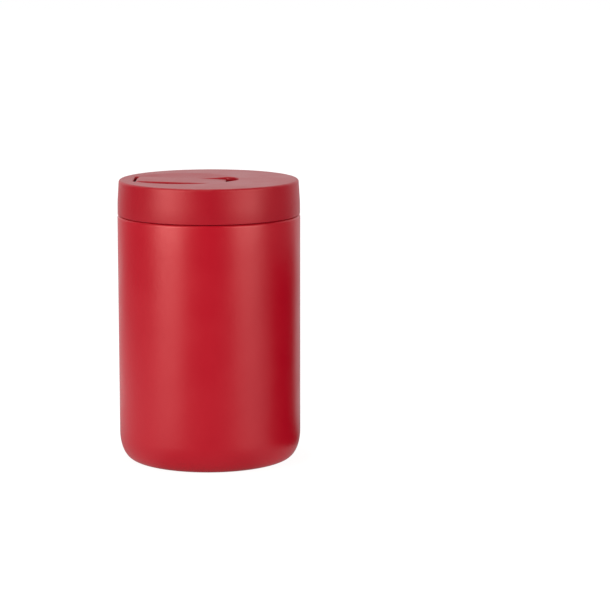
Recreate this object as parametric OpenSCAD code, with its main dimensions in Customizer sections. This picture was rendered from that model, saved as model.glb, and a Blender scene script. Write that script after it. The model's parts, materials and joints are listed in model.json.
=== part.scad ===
// Round yerba mate canister with a lift-off lid and a swing-up pouring spout.
// Lengths are in millimetres. +Z is up and the origin is on the table, on the canister's axis.
// The spout's slot runs along X: the hinge is at its -X end and the finger hole at its +X end.

/* [Canister] */
// Outside diameter of the canister's wall
body_d = 110; // [96:1:140]
// Height of the canister up to the seam under the lid
body_h = 148.5; // [110:0.5:220]
// Thickness of the drawn sheet
sheet_t = 0.8; // [0.5:0.1:1.2]
// Width of the drawn corner between wall and base
corner_w = 8; // [4:0.5:14]
// Height of the drawn corner between wall and base
corner_h = 16; // [6:0.5:30]
// Width of the flat ring that the canister stands on
foot_w = 5; // [3:0.5:12]
// Height of the base panel above the standing ring
base_rise = 1.5; // [0.5:0.1:4]
// Width of the sloped step from the standing ring to the base panel
step_w = 2; // [1:0.1:6]
// Outer radius of the rim, which is rolled inwards
rim_r = 1.6; // [1.4:0.1:2.5]
// Length of the rim's turned-down edge
hem_h = 1.5; // [0.8:0.1:4]

/* [Lid] */
// Height of the lid above its seat
lid_h = 20.8; // [16:0.1:40]
// Inset of the lid's foot from the canister's wall
lid_inset = 0.1; // [0:0.05:1]
// Inward draft of the lid's side, from foot to top
lid_draft = 0.8; // [0.1:0.1:2]
// Radius of the lid's top edge
lid_edge_r = 1.5; // [0.5:0.1:3]
// Thickness of the lid's skirt at the top
skirt_t = 1.8; // [1.2:0.1:3]
// Thickness of the lid's top plate
plate_t = 1.8; // [1.2:0.1:2.4]
// Radius of the shallow thumb dish round the slot
dish_r = 32; // [20:0.5:36]
// Depth of the thumb dish at its middle
dish_depth = 1.85; // [0.4:0.05:2.2]
// Thickness of the stiffening collar under the slot's edge
collar_t = 1.4; // [1:0.1:2.4]
// Height of the collar below the top plate
collar_h = 3; // [1.5:0.1:3.6]

/* [Plug and seal] */
// Wall thickness of the lid's plug
plug_t = 1.8; // [1.6:0.1:3]
// Depth of the plug below the seat
plug_drop = 9; // [7:0.5:20]
// Thickness of the plug's seat flange
flange_t = 1.6; // [1:0.1:3]
// Radial space between the plug and the rim
plug_clear = 1; // [0.8:0.1:2.5]
// Height of the seal ring
seal_h = 2.6; // [1.6:0.1:4]
// Depth of the groove that holds the seal ring
groove_depth = 0.9; // [0.4:0.1:1.2]

/* [Spout] */
// Outside width across the side walls
spout_w = 24; // [16:0.2:30]
// Length from the hinge pin to the tip of the lip
spout_reach = 51.5; // [40:0.5:60]
// Thickness of the spout's floor, which closes the slot
floor_t = 1.5; // [1:0.1:2.4]
// Thickness of the side walls
side_t = 1.5; // [1:0.1:2.4]
// Radius of the outer edges along the spout
spout_edge_r = 1; // [0.4:0.1:1.4]
// Length of the lip past the side walls
lip_len = 3.7; // [2:0.1:6]
// Radius of the fillet between side wall and lip
lip_fillet_r = 3.2; // [1.5:0.1:5]
// Distance of the side walls' arc centre behind the hinge pin
arc_back = 3.6; // [2:0.1:6]
// Distance of the side walls' arc centre below the outer face
arc_drop = 1.9; // [0.5:0.1:4]
// Angle by which the tip sinks below the lid when closed
sink_angle = 1.8; // [0:0.1:2.5]
// Angle from closed to open
open_angle = 89; // [60:1:95]
// Length of the finger hole past the tip
finger_gap = 7.9; // [5:0.1:14]

/* [Hinge] */
// Diameter of the hinge pin
pin_d = 2.5; // [1.6:0.1:3.4]
// Radius of the knuckle at the spout's end
knuckle_r = 3.1; // [2.8:0.1:5]
// Thickness of the lid's ears along the pin
ear_t = 2.4; // [2:0.1:5]
// Radius of the lid's ears round the pin
ear_r = 3.4; // [2.8:0.1:5]
// Thickness of the stop rib behind the knuckle
rib_t = 1.1; // [1:0.1:2.4]
// Depth of the stop rib below the pin
rib_drop = 9; // [5:0.5:14]
// Length of the lugs that stop the open spout
lug_l = 6; // [3:0.5:10]
// Thickness of the stop lugs
lug_t = 2; // [1:0.1:3]
// Reach of the stop lugs under the collar
lug_catch = 0.8; // [0.4:0.1:1.2]
// Distance of the stop lugs from the side walls' arc
lug_back = 5; // [3:0.5:12]

/* [Clearances] */
// Gap between the rim and the lid that sits on it
seat_gap = 0.3; // [0.2:0.05:1]
// Gap between the rim and the seal ring
seal_gap = 0.3; // [0.2:0.05:0.8]
// Gap round the seal ring in its groove, and round the plug in the skirt
fit_gap = 0.05; // [0.02:0.01:0.2]
// Gap between the spout and each side of the slot
side_gap = 0.8; // [0.3:0.05:1.2]
// Gap between the lip and the start of the finger hole's arc
tip_gap = 0.4; // [0.3:0.05:1]
// Gap between the knuckle and the slot's square end
end_gap = 0.7; // [0.4:0.05:1.2]
// Gap between the ears and the plug
ear_gap = 0.3; // [0.2:0.1:2]
// Gap between the stop lugs and the collar when open
lug_gap = 0.3; // [0.2:0.05:1]
// Radial running clearance of the pin in the knuckle
pin_clear = 0.05; // [0.02:0.01:0.1]
// Inset of the pin's ends from the ears' outer faces
pin_inset = 0.2; // [0.1:0.1:1]

/* [Hidden] */
$fn = 128;
dish_fn = 360;
arc_steps = 12;

// Canister
body_r = body_d / 2;
rim_z = body_h - rim_r;
mouth_r = body_r - 2 * rim_r;
foot_r = body_r - corner_w - foot_w;

// Lid shell
seat_z = body_h + seat_gap;
lid_top = seat_z + lid_h;
plate_z = lid_top - plate_t;
lid_r = body_r - lid_inset;
lid_top_r = lid_r - lid_draft;
skirt_r = lid_top_r - skirt_t;
collar_z = plate_z - collar_h;

// Plug and seal ring, with the seal level with the rim's turned-down edge
plug_r = mouth_r - plug_clear;
bore_r = plug_r - plug_t;
groove_r = plug_r - groove_depth;
seal_z = rim_z - hem_h / 2;
seal_r = mouth_r - seal_gap;
bead_r = seal_h / 4;

// Hinge, set as far back as the ears' corners fit inside the plug
slot_w = spout_w + 2 * side_gap;
ear_in = slot_w / 2;
ear_out = ear_in + ear_t;
hinge_back = knuckle_r + end_gap + rib_t;
pin_x = hinge_back - sqrt(pow(bore_r - ear_gap, 2) - pow(ear_out, 2));
pin_z = lid_top - knuckle_r;
pin_r = pin_d / 2;

// Slot from the knuckle's end to the finger hole, an arc across the slot's width
slot_x0 = pin_x - knuckle_r - end_gap;
slot_x1 = pin_x + spout_reach + tip_gap;
finger_rise = finger_gap - tip_gap;
finger_r = (pow(slot_w / 2, 2) + pow(finger_rise, 2)) / (2 * finger_rise);
finger_x = slot_x1 + finger_rise - finger_r;

// Thumb dish, a shallow part of a large sphere
dish_x = pin_x + spout_reach / 2;
dish_sphere_r = (pow(dish_r, 2) + pow(dish_depth, 2)) / (2 * dish_depth);
dish_centre = [dish_x, 0, lid_top - dish_depth + dish_sphere_r];

// Spout's side view, measured from the pin
arc_r = spout_reach + arc_back - lip_len;
arc_centre = [-arc_back, knuckle_r - arc_drop];
floor_z = knuckle_r - floor_t;
fillet_drop = floor_z - lip_fillet_r - arc_centre[1];
fillet_x = arc_centre[0] + sqrt(pow(arc_r + lip_fillet_r, 2) - pow(fillet_drop, 2));
lug_x = arc_r - arc_back - lug_back - lug_l;
lug_z = min(collar_z, plate_z - dish_depth) - lug_gap - pin_z;

// Points on an elliptical arc from angle a0 to a1
function arc(centre, rx, ry, a0, a1) = [
    for (i = [0:arc_steps])
        let (a = a0 + (a1 - a0) * i / arc_steps)
            centre + [rx * cos(a), ry * sin(a)]
];

// Drawn sheet, from the base panel up the outside, over the rim and down the inside
function can_profile() = concat(
    [[0, base_rise], [foot_r - step_w, base_rise], [foot_r, 0]],
    arc([body_r - corner_w, corner_h], corner_w, corner_h, -90, 0),
    arc([body_r - rim_r, rim_z], rim_r, rim_r, 0, 180),
    [[mouth_r, rim_z - hem_h], [mouth_r + sheet_t, rim_z - hem_h]],
    arc([body_r - rim_r, rim_z], rim_r - sheet_t, rim_r - sheet_t, 180, 0),
    arc([body_r - corner_w, corner_h], corner_w - sheet_t, corner_h - sheet_t, 0, -90),
    [[foot_r, sheet_t], [foot_r - step_w, base_rise + sheet_t], [0, base_rise + sheet_t]]
);

// Skirt and top plate of the lid
function lid_profile() = concat(
    [[skirt_r, seat_z], [lid_r, seat_z]],
    arc([lid_top_r - lid_edge_r, lid_top - lid_edge_r], lid_edge_r, lid_edge_r, 0, 90),
    [[0, lid_top], [0, plate_z], [skirt_r, plate_z]]
);

// Tube of the plug, with its seat flange and the seal's groove
function plug_profile() = [
    [bore_r, seat_z - plug_drop],
    [groove_r, seat_z - plug_drop],
    [plug_r, seat_z - plug_drop + groove_depth],
    [plug_r, seal_z - seal_h / 2 - fit_gap],
    [groove_r, seal_z - seal_h / 2 - fit_gap],
    [groove_r, seal_z + seal_h / 2 + fit_gap],
    [plug_r, seal_z + seal_h / 2 + fit_gap],
    [plug_r, seat_z],
    [skirt_r - fit_gap, seat_z],
    [skirt_r - fit_gap, seat_z + flange_t],
    [plug_r, seat_z + flange_t],
    [plug_r, plate_z],
    [bore_r, plate_z]
];

// Slot in the lid, square at the hinge and rounded at the finger hole
module slot_outline(grow = 0) {
    half_w = slot_w / 2 + grow;
    intersection() {
        translate([slot_x0 - grow, -half_w])
            square([slot_x1 - slot_x0 + 2 * finger_r, 2 * half_w]);
        union() {
            translate([finger_x, 0])
                circle(finger_r + grow);
            translate([slot_x0 - grow, -slot_w])
                square([finger_x - slot_x0 + grow, 2 * slot_w]);
        }
    }
}

// Cheek of the hinge cradle: a round ear with a gusset back to the stop rib
module ear_outline() {
    ear_top = knuckle_r - plate_t / 2;
    intersection() {
        circle(ear_r);
        translate([-ear_r, -ear_r])
            square([2 * ear_r, ear_r + ear_top]);
    }
    polygon([
        [-hinge_back, ear_top],
        [ear_r, ear_top],
        [ear_r, 0],
        [0, -ear_r],
        [-hinge_back, -rib_drop]
    ]);
}

// Pair of ears that hold the pin, joined by the rib that stops the closed spout
module hinge_cradle() {
    translate([pin_x - hinge_back, -ear_out, pin_z - rib_drop])
        cube([rib_t, 2 * ear_out, rib_drop + knuckle_r - plate_t / 2]);
    for (y = [-ear_in, ear_out])
        translate([pin_x, y, pin_z])
            rotate([90, 0, 0])
                linear_extrude(ear_t)
                    ear_outline();
}

// Plate under the thumb dish, which keeps the top plate's thickness
module dish_underside() {
    intersection() {
        translate(dish_centre)
            sphere(dish_sphere_r + plate_t, $fn = dish_fn);
        translate([dish_x, 0, plate_z - dish_depth])
            cylinder(h = dish_depth + plate_t / 2, r = dish_r + plate_t);
    }
}

// Side wall of the spout: a quarter disc under the floor, with a fillet up to the lip
module side_outline() {
    intersection() {
        translate(arc_centre)
            circle(arc_r);
        union() {
            translate([-knuckle_r, -2 * arc_r])
                square(2 * arc_r);
            square([2 * arc_r, knuckle_r]);
        }
    }
    difference() {
        translate([fillet_x - lip_fillet_r, floor_z - lip_fillet_r])
            square(lip_fillet_r);
        translate([fillet_x, floor_z - lip_fillet_r])
            circle(lip_fillet_r);
    }
    circle(knuckle_r);
}

// Space that the spout fills across its width, with the outer edges along it rounded
module spout_section() {
    flat_w = spout_w - 2 * spout_edge_r;
    translate([-arc_r, 0, 0])
        rotate([90, 0, 90])
            linear_extrude(3 * arc_r) {
                translate([-spout_w / 2, -2 * arc_r])
                    square([spout_w, 2 * arc_r + knuckle_r - spout_edge_r]);
                translate([-flat_w / 2, -2 * arc_r])
                    square([flat_w, 2 * arc_r + knuckle_r]);
                for (side = [-1, 1])
                    translate([side * flat_w / 2, knuckle_r - spout_edge_r])
                        circle(spout_edge_r);
            }
}

// Lugs on the side walls, placed where they meet the collar when the spout is open
module stop_lugs() {
    lug_w = side_t / 2 + side_gap + lug_catch;
    for (side = [-1, 1])
        rotate([0, open_angle - sink_angle, 0])
            translate([lug_x, side * (spout_w / 2 - side_t / 2 + lug_w / 2) - lug_w / 2, lug_z - lug_t])
                cube([lug_l, lug_w, lug_t]);
}

module canister_body() {
    color("firebrick")
        rotate_extrude()
            polygon(can_profile());
}

module lid_cap() {
    color("crimson")
        difference() {
            union() {
                rotate_extrude()
                    polygon(lid_profile());
                dish_underside();
                translate([0, 0, collar_z])
                    linear_extrude(collar_h + plate_t / 2)
                        slot_outline(collar_t);
                hinge_cradle();
            }
            translate(dish_centre)
                sphere(dish_sphere_r, $fn = dish_fn);
            translate([0, 0, collar_z - rib_drop])
                linear_extrude(rib_drop + collar_h + 2 * plate_t)
                    slot_outline();
            translate([pin_x, 0, pin_z])
                rotate([90, 0, 0])
                    cylinder(h = 2 * ear_out, r = pin_r, center = true);
        }
}

module lid_plug() {
    color("brown")
        rotate_extrude()
            polygon(plug_profile());
}

module lid_gasket() {
    color("whitesmoke")
        rotate_extrude() {
            translate([groove_r + fit_gap, seal_z - seal_h / 2])
                square([seal_r - bead_r - groove_r - fit_gap, seal_h]);
            for (bead_z = [-bead_r, bead_r])
                translate([seal_r - bead_r, seal_z + bead_z])
                    circle(bead_r);
        }
}

module spout() {
    color("crimson")
        translate([pin_x, 0, pin_z])
            rotate([0, sink_angle, 0])
                difference() {
                    union() {
                        intersection() {
                            spout_section();
                            union() {
                                translate([0, -spout_w / 2, floor_z])
                                    cube([spout_reach, spout_w, floor_t]);
                                for (y = [-spout_w / 2 + side_t, spout_w / 2])
                                    translate([0, y, 0])
                                        rotate([90, 0, 0])
                                            linear_extrude(side_t)
                                                side_outline();
                                rotate([90, 0, 0])
                                    cylinder(h = spout_w, r = knuckle_r, center = true);
                            }
                        }
                        stop_lugs();
                    }
                    rotate([90, 0, 0])
                        cylinder(h = 2 * spout_w, r = pin_r + pin_clear, center = true);
                }
}

module hinge_pin() {
    color("silver")
        translate([pin_x, 0, pin_z])
            rotate([90, 0, 0])
                cylinder(h = 2 * (ear_out - pin_inset), r = pin_r, center = true);
}

canister_body();
lid_cap();
lid_plug();
lid_gasket();
spout();
hinge_pin();
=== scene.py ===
"""Looks of a round yerba mate canister with a lift-off lid and a swing-up pouring spout.

Sizes are in millimetres in the part's own frame: +Z is up, the origin is on the table on the
canister's axis, and the spout's slot runs along X with its hinge at -X. Every surface is worked
out as a whole numpy array and scaled to metres when it becomes a mesh.
"""

import json
import logging
import math
from dataclasses import dataclass, field
from enum import Enum

import bmesh
import bpy
import numpy as np
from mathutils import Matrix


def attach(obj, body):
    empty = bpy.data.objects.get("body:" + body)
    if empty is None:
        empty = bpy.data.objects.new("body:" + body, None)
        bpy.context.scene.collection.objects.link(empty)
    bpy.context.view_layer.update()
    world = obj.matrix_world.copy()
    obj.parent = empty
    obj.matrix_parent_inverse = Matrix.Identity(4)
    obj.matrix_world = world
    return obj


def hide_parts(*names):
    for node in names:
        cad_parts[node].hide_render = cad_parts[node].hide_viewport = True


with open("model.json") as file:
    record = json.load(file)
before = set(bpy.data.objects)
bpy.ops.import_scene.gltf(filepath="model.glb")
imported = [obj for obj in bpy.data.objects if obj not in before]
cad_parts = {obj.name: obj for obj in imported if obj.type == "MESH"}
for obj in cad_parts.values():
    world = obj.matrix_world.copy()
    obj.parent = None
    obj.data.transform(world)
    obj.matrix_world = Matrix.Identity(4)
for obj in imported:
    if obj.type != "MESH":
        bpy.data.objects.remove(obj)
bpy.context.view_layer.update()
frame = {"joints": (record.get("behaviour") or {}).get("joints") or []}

LOG = logging.getLogger("canister")
MM = 0.001
WELD = 2e-6
SLIVER = WELD / 4
SMOOTH_LIMIT = math.radians(42)
STRAIGHT = 0.999999
TURNS = 256
ROD_TURNS = 48
NOISE_RANGE = (0.3, 0.7)
PATCH_RANGE = (0.35, 0.7)

# X and Z of the spout's axis
SWING = next(joint for joint in frame["joints"] if joint["name"] == "spout_swing")
HINGE = np.array(SWING["pos_m"])[[0, 2]] / MM


class Part(Enum):
    """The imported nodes: each one's name, the body that it moves with and its material slot."""

    CAN = ("canister_body", "canister", "body_paint")
    LID = ("lid_cap", "lid", "lid_plastic")
    PLUG = ("lid_plug", "lid", "plug_plastic")
    SEAL = ("lid_gasket", "lid", "seal_silicone")
    PIN = ("hinge_pin", "lid", "pin_steel")
    SPOUT = ("spout", "pour_spout", "spout_plastic")

    def dress(self, piece: bpy.types.Object, material: bpy.types.Material) -> None:
        """Gives a piece its material and its body, and hides the node that it stands for.

        Args:
            piece: The finished mesh object.
            material: Its material.
        """
        node, body, slot = self.value
        piece.data.materials.append(material)
        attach(piece, body)
        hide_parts(node)
        LOG.info("%s: %d faces on %s", piece.name, len(piece.data.polygons), body)


class Change(Enum):
    """What a second solid does to a piece."""

    ADD = "UNION"
    CUT = "DIFFERENCE"


# Paths and surfaces


def unit(vectors: np.ndarray) -> np.ndarray:
    """Rows scaled to a length of 1."""
    return vectors / np.linalg.norm(vectors, axis=-1, keepdims=True)


def arc(centre: tuple | np.ndarray, radii: tuple, start: float, stop: float, steps: int) -> np.ndarray:
    """Points of an elliptical arc: centre plus radii times the cosine and sine of the angle.

    Args:
        centre: Centre of the ellipse.
        radii: Half axes.
        start: First angle in degrees.
        stop: Last angle in degrees.
        steps: Number of chords.

    Returns:
        Array of steps + 1 points.
    """
    angle = np.radians(np.linspace(start, stop, steps + 1))
    return np.asarray(centre) + np.asarray(radii) * np.stack([np.cos(angle), np.sin(angle)], 1)


def line(start: tuple, stop: tuple, steps: int) -> np.ndarray:
    """Points of a straight line, both ends included."""
    share = np.linspace(0, 1, steps + 1)[:, None]
    return np.asarray(start, float) * (1 - share) + np.asarray(stop, float) * share


def edge_turn(radius: float, steps: int) -> tuple:
    """Insets and drops of a quarter-round edge: radius times one minus cosine, and one minus sine."""
    angle = np.radians(np.linspace(90, 0, steps + 1))
    return radius * (1 - np.cos(angle)), radius * (1 - np.sin(angle))


def rounded(corners: list | np.ndarray, radii: list | np.ndarray, steps: int = 6,
            ends: bool = True) -> np.ndarray:
    """Path whose corners are replaced by arcs that touch both neighbouring edges.

    Each arc's centre lies on the corner's bisector, at the radius over the sine of half the
    corner's angle, and its points are turned evenly from one touching point to the other.

    Args:
        corners: Corner points in order. The first and last of an open path have radius 0.
        radii: One radius for each corner.
        steps: Chords in each arc.
        ends: Whether the first and last corners are kept, or only lead in and out.

    Returns:
        Array of points, steps + 1 for each corner.
    """
    at, radius = np.asarray(corners, float), np.asarray(radii, float)[:, None]
    back, ahead = unit(np.roll(at, 1, 0) - at), unit(np.roll(at, -1, 0) - at)
    half = np.arccos(np.clip((back * ahead).sum(1), -STRAIGHT, STRAIGHT))[:, None] / 2
    centre = at + (back + ahead) / (2 * np.cos(half)) * radius / np.sin(half)
    first, last = (at + side * radius / np.tan(half) - centre for side in (back, ahead))
    turn = (math.pi - 2 * half)[:, :, None]
    share = np.linspace(0, 1, steps + 1)[None, :, None]
    swept = np.sin((1 - share) * turn) * first[:, None] + np.sin(share * turn) * last[:, None]
    points = centre[:, None] + swept / np.sin(turn)
    return (points if ends else points[1:-1]).reshape(-1, 2)


def left_normals(path: np.ndarray) -> np.ndarray:
    """Unit normals on the left of an open path, from the differences of neighbouring points."""
    along = np.gradient(path, axis=0)
    return unit(np.stack([-along[:, 1], along[:, 0]], 1))


def outward_normals(outline: np.ndarray, middle: np.ndarray) -> np.ndarray:
    """Unit normals of a closed outline, from the differences of each point's two neighbours.

    Args:
        outline: Points of the outline.
        middle: A point inside, which the normals point away from.

    Returns:
        One normal for each point.
    """
    along = np.roll(outline, -1, 0) - np.roll(outline, 1, 0)
    normal = unit(np.stack([along[:, 1], -along[:, 0]], 1))
    return normal * np.sign((normal * (outline - middle)).sum())


def raised(places: np.ndarray, height: np.ndarray | float) -> np.ndarray:
    """Points from places in X and Y and their heights."""
    return np.concatenate([places, np.broadcast_to(height, places.shape[:-1])[..., None]], -1)


def turned(points: np.ndarray, degrees: float) -> np.ndarray:
    """Points turned about Y: X cosine plus Z sine, and Z cosine less X sine."""
    cos, sin = math.cos(math.radians(degrees)), math.sin(math.radians(degrees))
    return points @ np.array([[cos, 0.0, -sin], [0.0, 1.0, 0.0], [sin, 0.0, cos]])


def new_object(name: str, data: bpy.types.ID) -> bpy.types.Object:
    """Puts a new object into the scene, at the origin.

    Args:
        name: Name of the object.
        data: Its mesh, camera or lamp.

    Returns:
        The object.
    """
    made = bpy.data.objects.new(name, data)
    bpy.context.scene.collection.objects.link(made)
    return made


@dataclass
class Surface:
    """A surface of quads, with named values for its points."""

    points: np.ndarray
    quads: np.ndarray
    values: dict = field(default_factory=dict)

    @staticmethod
    def grid(points: np.ndarray, wrap_u: bool, wrap_v: bool, values: dict | None = None) -> "Surface":
        """Surface over a grid of points, with a quad between each four neighbours.

        Args:
            points: Array of shape (u, v, 3).
            wrap_u: Whether the last u joins the first.
            wrap_v: Whether the last v joins the first.
            values: Named arrays of shape (u, v).

        Returns:
            The surface.
        """
        count_u, count_v = points.shape[:2]
        u = np.arange(count_u if wrap_u else count_u - 1)[:, None]
        v = np.arange(count_v if wrap_v else count_v - 1)[None, :]
        row, next_row, next_v = u * count_v, (u + 1) % count_u * count_v, (v + 1) % count_v
        corners = np.broadcast_arrays(row + v, next_row + v, next_row + next_v, row + next_v)
        flat = {name: np.asarray(value, float).ravel() for name, value in (values or {}).items()}
        return Surface(points.reshape(-1, 3), np.stack(corners, -1).reshape(-1, 4), flat)

    def piece(self, name: str) -> bpy.types.Object:
        """Makes the surface a mesh object in metres, with doubles merged and smooth faces.

        The faces are turned over if the volume that they enclose comes out negative.

        Args:
            name: Name of the object and of its mesh.

        Returns:
            The new object.
        """
        first, second, third, fourth = (self.points[column] for column in self.quads.T)
        volume = (np.cross(first, second) * third).sum() + (np.cross(first, third) * fourth).sum()
        quads = self.quads if volume >= 0 else self.quads[:, ::-1]
        mesh = bpy.data.meshes.new(name)
        mesh.from_pydata((self.points * MM).tolist(), [], quads.tolist())
        for key, value in self.values.items():
            mesh.attributes.new(key, "FLOAT", "POINT").data.foreach_set("value", value.astype(np.float32))
        work = bmesh.new()
        work.from_mesh(mesh)
        bmesh.ops.remove_doubles(work, verts=work.verts, dist=WELD)
        bmesh.ops.dissolve_degenerate(work, edges=work.edges, dist=SLIVER)
        work.to_mesh(mesh)
        work.free()
        mesh.polygons.foreach_set("use_smooth", np.ones(len(mesh.polygons), bool))
        mesh.set_sharp_from_angle(angle=SMOOTH_LIMIT)
        mesh.validate()
        return new_object(name, mesh)


def revolve(profile: np.ndarray, closed: bool, values: dict | None = None, turns: int = TURNS) -> Surface:
    """Surface of a profile turned about Z: radius times cosine, radius times sine, height.

    Args:
        profile: Points of radius and height.
        closed: Whether the profile's last point joins its first.
        values: Named values along the profile.
        turns: Number of steps round the axis.

    Returns:
        The closed surface.
    """
    angle = np.linspace(0, 2 * math.pi, turns, endpoint=False)[:, None]
    round_z = np.stack([np.cos(angle), np.sin(angle)], -1)
    points = raised(round_z * profile[None, :, :1], profile[None, :, 1])
    spread = {name: np.broadcast_to(value, points.shape[:2]) for name, value in (values or {}).items()}
    return Surface.grid(points, True, closed, spread)


def on_hinge(profile: np.ndarray) -> Surface:
    """Rod on the spout's axis: a profile turned about Z, laid along Y and moved to the hinge.

    Args:
        profile: Points of radius and place along the rod.

    Returns:
        The closed surface.
    """
    rod = revolve(profile, False, turns=ROD_TURNS)
    across, up, along = rod.points.T
    return Surface(np.stack([across + HINGE[0], along, up + HINGE[1]], 1), rod.quads)


def slab(outer: np.ndarray, inner: np.ndarray, low: float, high: float, edge: float) -> Surface:
    """Plate across Y between two outlines in X and Z, with its outer edges rounded.

    The loop runs up the inner outline, over the high face, down the outer outline and back over
    the low face. At both outer edges the outline draws in by the edge radius times one minus the
    cosine as the face drops by the radius times one minus the sine.

    Args:
        outer: Closed outer outline.
        inner: Closed inner outline with as many points, or one point for a plate with no hole.
        low: Lower Y.
        high: Upper Y.
        edge: Radius of the outer edges.

    Returns:
        The closed surface.
    """
    holed = len(inner) == len(outer)
    core = np.broadcast_to(inner, outer.shape)[None]
    inset, drop = edge_turn(edge, steps=4)
    normal = outward_normals(outer, inner.mean(0))
    rings = outer - normal * np.concatenate([inset, inset[::-1]])[:, None, None]
    rings = np.concatenate([core, rings, core])
    depth = np.concatenate([[high], high - drop, low + drop[::-1], [low]])
    return Surface.grid(raised(rings, depth[:, None])[..., [0, 2, 1]], holed, True)


def combine(piece: bpy.types.Object, tool: bpy.types.Object, change: Change) -> None:
    """Adds a tool's solid to a piece, or cuts it away, and removes the tool.

    Args:
        piece: The piece, which keeps its name.
        tool: The other solid.
        change: What the tool does.
    """
    boolean = piece.modifiers.new("combine", "BOOLEAN")
    boolean.operation, boolean.solver, boolean.object = change.value, "EXACT", tool
    before = piece.data
    ready = piece.evaluated_get(bpy.context.evaluated_depsgraph_get())
    piece.data = bpy.data.meshes.new_from_object(ready)
    piece.modifiers.clear()
    for left_over in (before, tool.data):
        bpy.data.meshes.remove(left_over)
    piece.data.name = piece.name
    piece.data.set_sharp_from_angle(angle=SMOOTH_LIMIT)


# Finishes

Socket = bpy.types.NodeSocket
FLOAT, COLOR, VECTOR = "NodeSocketFloat", "NodeSocketColor", "NodeSocketVector"


class Sheet:
    """A node tree, with short ways to add and link nodes."""

    def __init__(self, tree: bpy.types.NodeTree) -> None:
        """Keeps the tree that nodes go into."""
        self.tree = tree

    @staticmethod
    def emptied(owner: bpy.types.ID) -> "Sheet":
        """The sheet of a material or a world, with its first nodes taken out.

        Args:
            owner: The material or world.

        Returns:
            The empty sheet.
        """
        owner.use_nodes = True
        owner.node_tree.nodes.clear()
        return Sheet(owner.node_tree)

    def feed(self, node: bpy.types.Node, inputs: dict) -> None:
        """Links or sets a node's inputs.

        Args:
            node: The node.
            inputs: Sockets or values, by name or number.
        """
        for key, value in inputs.items():
            if isinstance(value, Socket):
                self.tree.links.new(value, node.inputs[key])
            else:
                node.inputs[key].default_value = value

    def add(self, kind: str, inputs: dict | None = None, **options: object) -> bpy.types.NodeOutputs:
        """Adds a shader node.

        Args:
            kind: The node's type, after the word ShaderNode.
            inputs: Sockets or values for its inputs, by name or number.
            options: Properties of the node.

        Returns:
            The new node's outputs.
        """
        node = self.tree.nodes.new("ShaderNode" + kind)
        for key, value in options.items():
            setattr(node, key, value)
        self.feed(node, inputs or {})
        return node.outputs

    def math(self, operation: str, first: object, second: object = 0.0) -> Socket:
        """A Math node's result."""
        return self.add("Math", {0: first, 1: second}, operation=operation)[0]

    def times(self, first: object, second: object) -> Socket:
        """Two values multiplied."""
        return self.math("MULTIPLY", first, second)

    def span(self, value: object, low_high: tuple, to: tuple = (0.0, 1.0)) -> Socket:
        """A value mapped smoothly from one range to another."""
        inputs = dict(zip(("Value", "From Min", "From Max", "To Min", "To Max"), (value, *low_high, *to)))
        return self.add("MapRange", inputs, interpolation_type="SMOOTHSTEP")["Result"]

    def vary(self, noise: object, middle: float, spread: float) -> Socket:
        """A value that follows a noise from a spread under its middle to a spread over it."""
        return self.span(noise, NOISE_RANGE, (middle - spread, middle + spread))

    def mix(self, share: object, first: object, second: object) -> Socket:
        """A mix of two colours."""
        return self.add("Mix", {0: share, 6: first, 7: second}, data_type="RGBA")[2]

    def blend(self, share: object, first: object, second: object) -> Socket:
        """A mix of two values."""
        return self.add("Mix", {0: share, 2: first, 3: second}, data_type="FLOAT")[0]

    def noise(self, vector: object, scale: object, detail: float) -> Socket:
        """A noise between 0 and 1."""
        return self.add("TexNoise", {"Vector": vector, "Scale": scale, "Detail": detail})["Fac"]

    def stretched(self, vector: object, scale: tuple, detail: float) -> Socket:
        """A noise whose scale differs along X, Y and Z."""
        return self.noise(self.add("Mapping", {"Vector": vector, "Scale": scale})["Vector"], 1.0, detail)

    def value(self, name: str) -> Socket:
        """A value that the mesh's points hold."""
        return self.add("Attribute", attribute_name=name)["Fac"]

    def group(self, tree: bpy.types.NodeTree, **inputs: object) -> bpy.types.NodeOutputs:
        """The outputs of a node group that is placed with its own values."""
        return self.add("Group", inputs, node_tree=tree)

    def surface(self, kind: str, shader: Socket) -> None:
        """Ends a material or a world with its output."""
        self.add("Output" + kind, {"Surface": shader})


def new_group(name: str, inputs: dict, outputs: dict) -> tuple:
    """Starts a shader node group with named sockets.

    Args:
        name: Name of the group.
        inputs: Socket type for each input.
        outputs: Socket type for each output.

    Returns:
        The group's sheet, the sockets of its inputs and its output node.
    """
    tree = bpy.data.node_groups.new(name, "ShaderNodeTree")
    for way, sockets in (("INPUT", inputs), ("OUTPUT", outputs)):
        for key, kind in sockets.items():
            tree.interface.new_socket(key, in_out=way, socket_type=kind)
    return Sheet(tree), tree.nodes.new("NodeGroupInput").outputs, tree.nodes.new("NodeGroupOutput")


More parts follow.
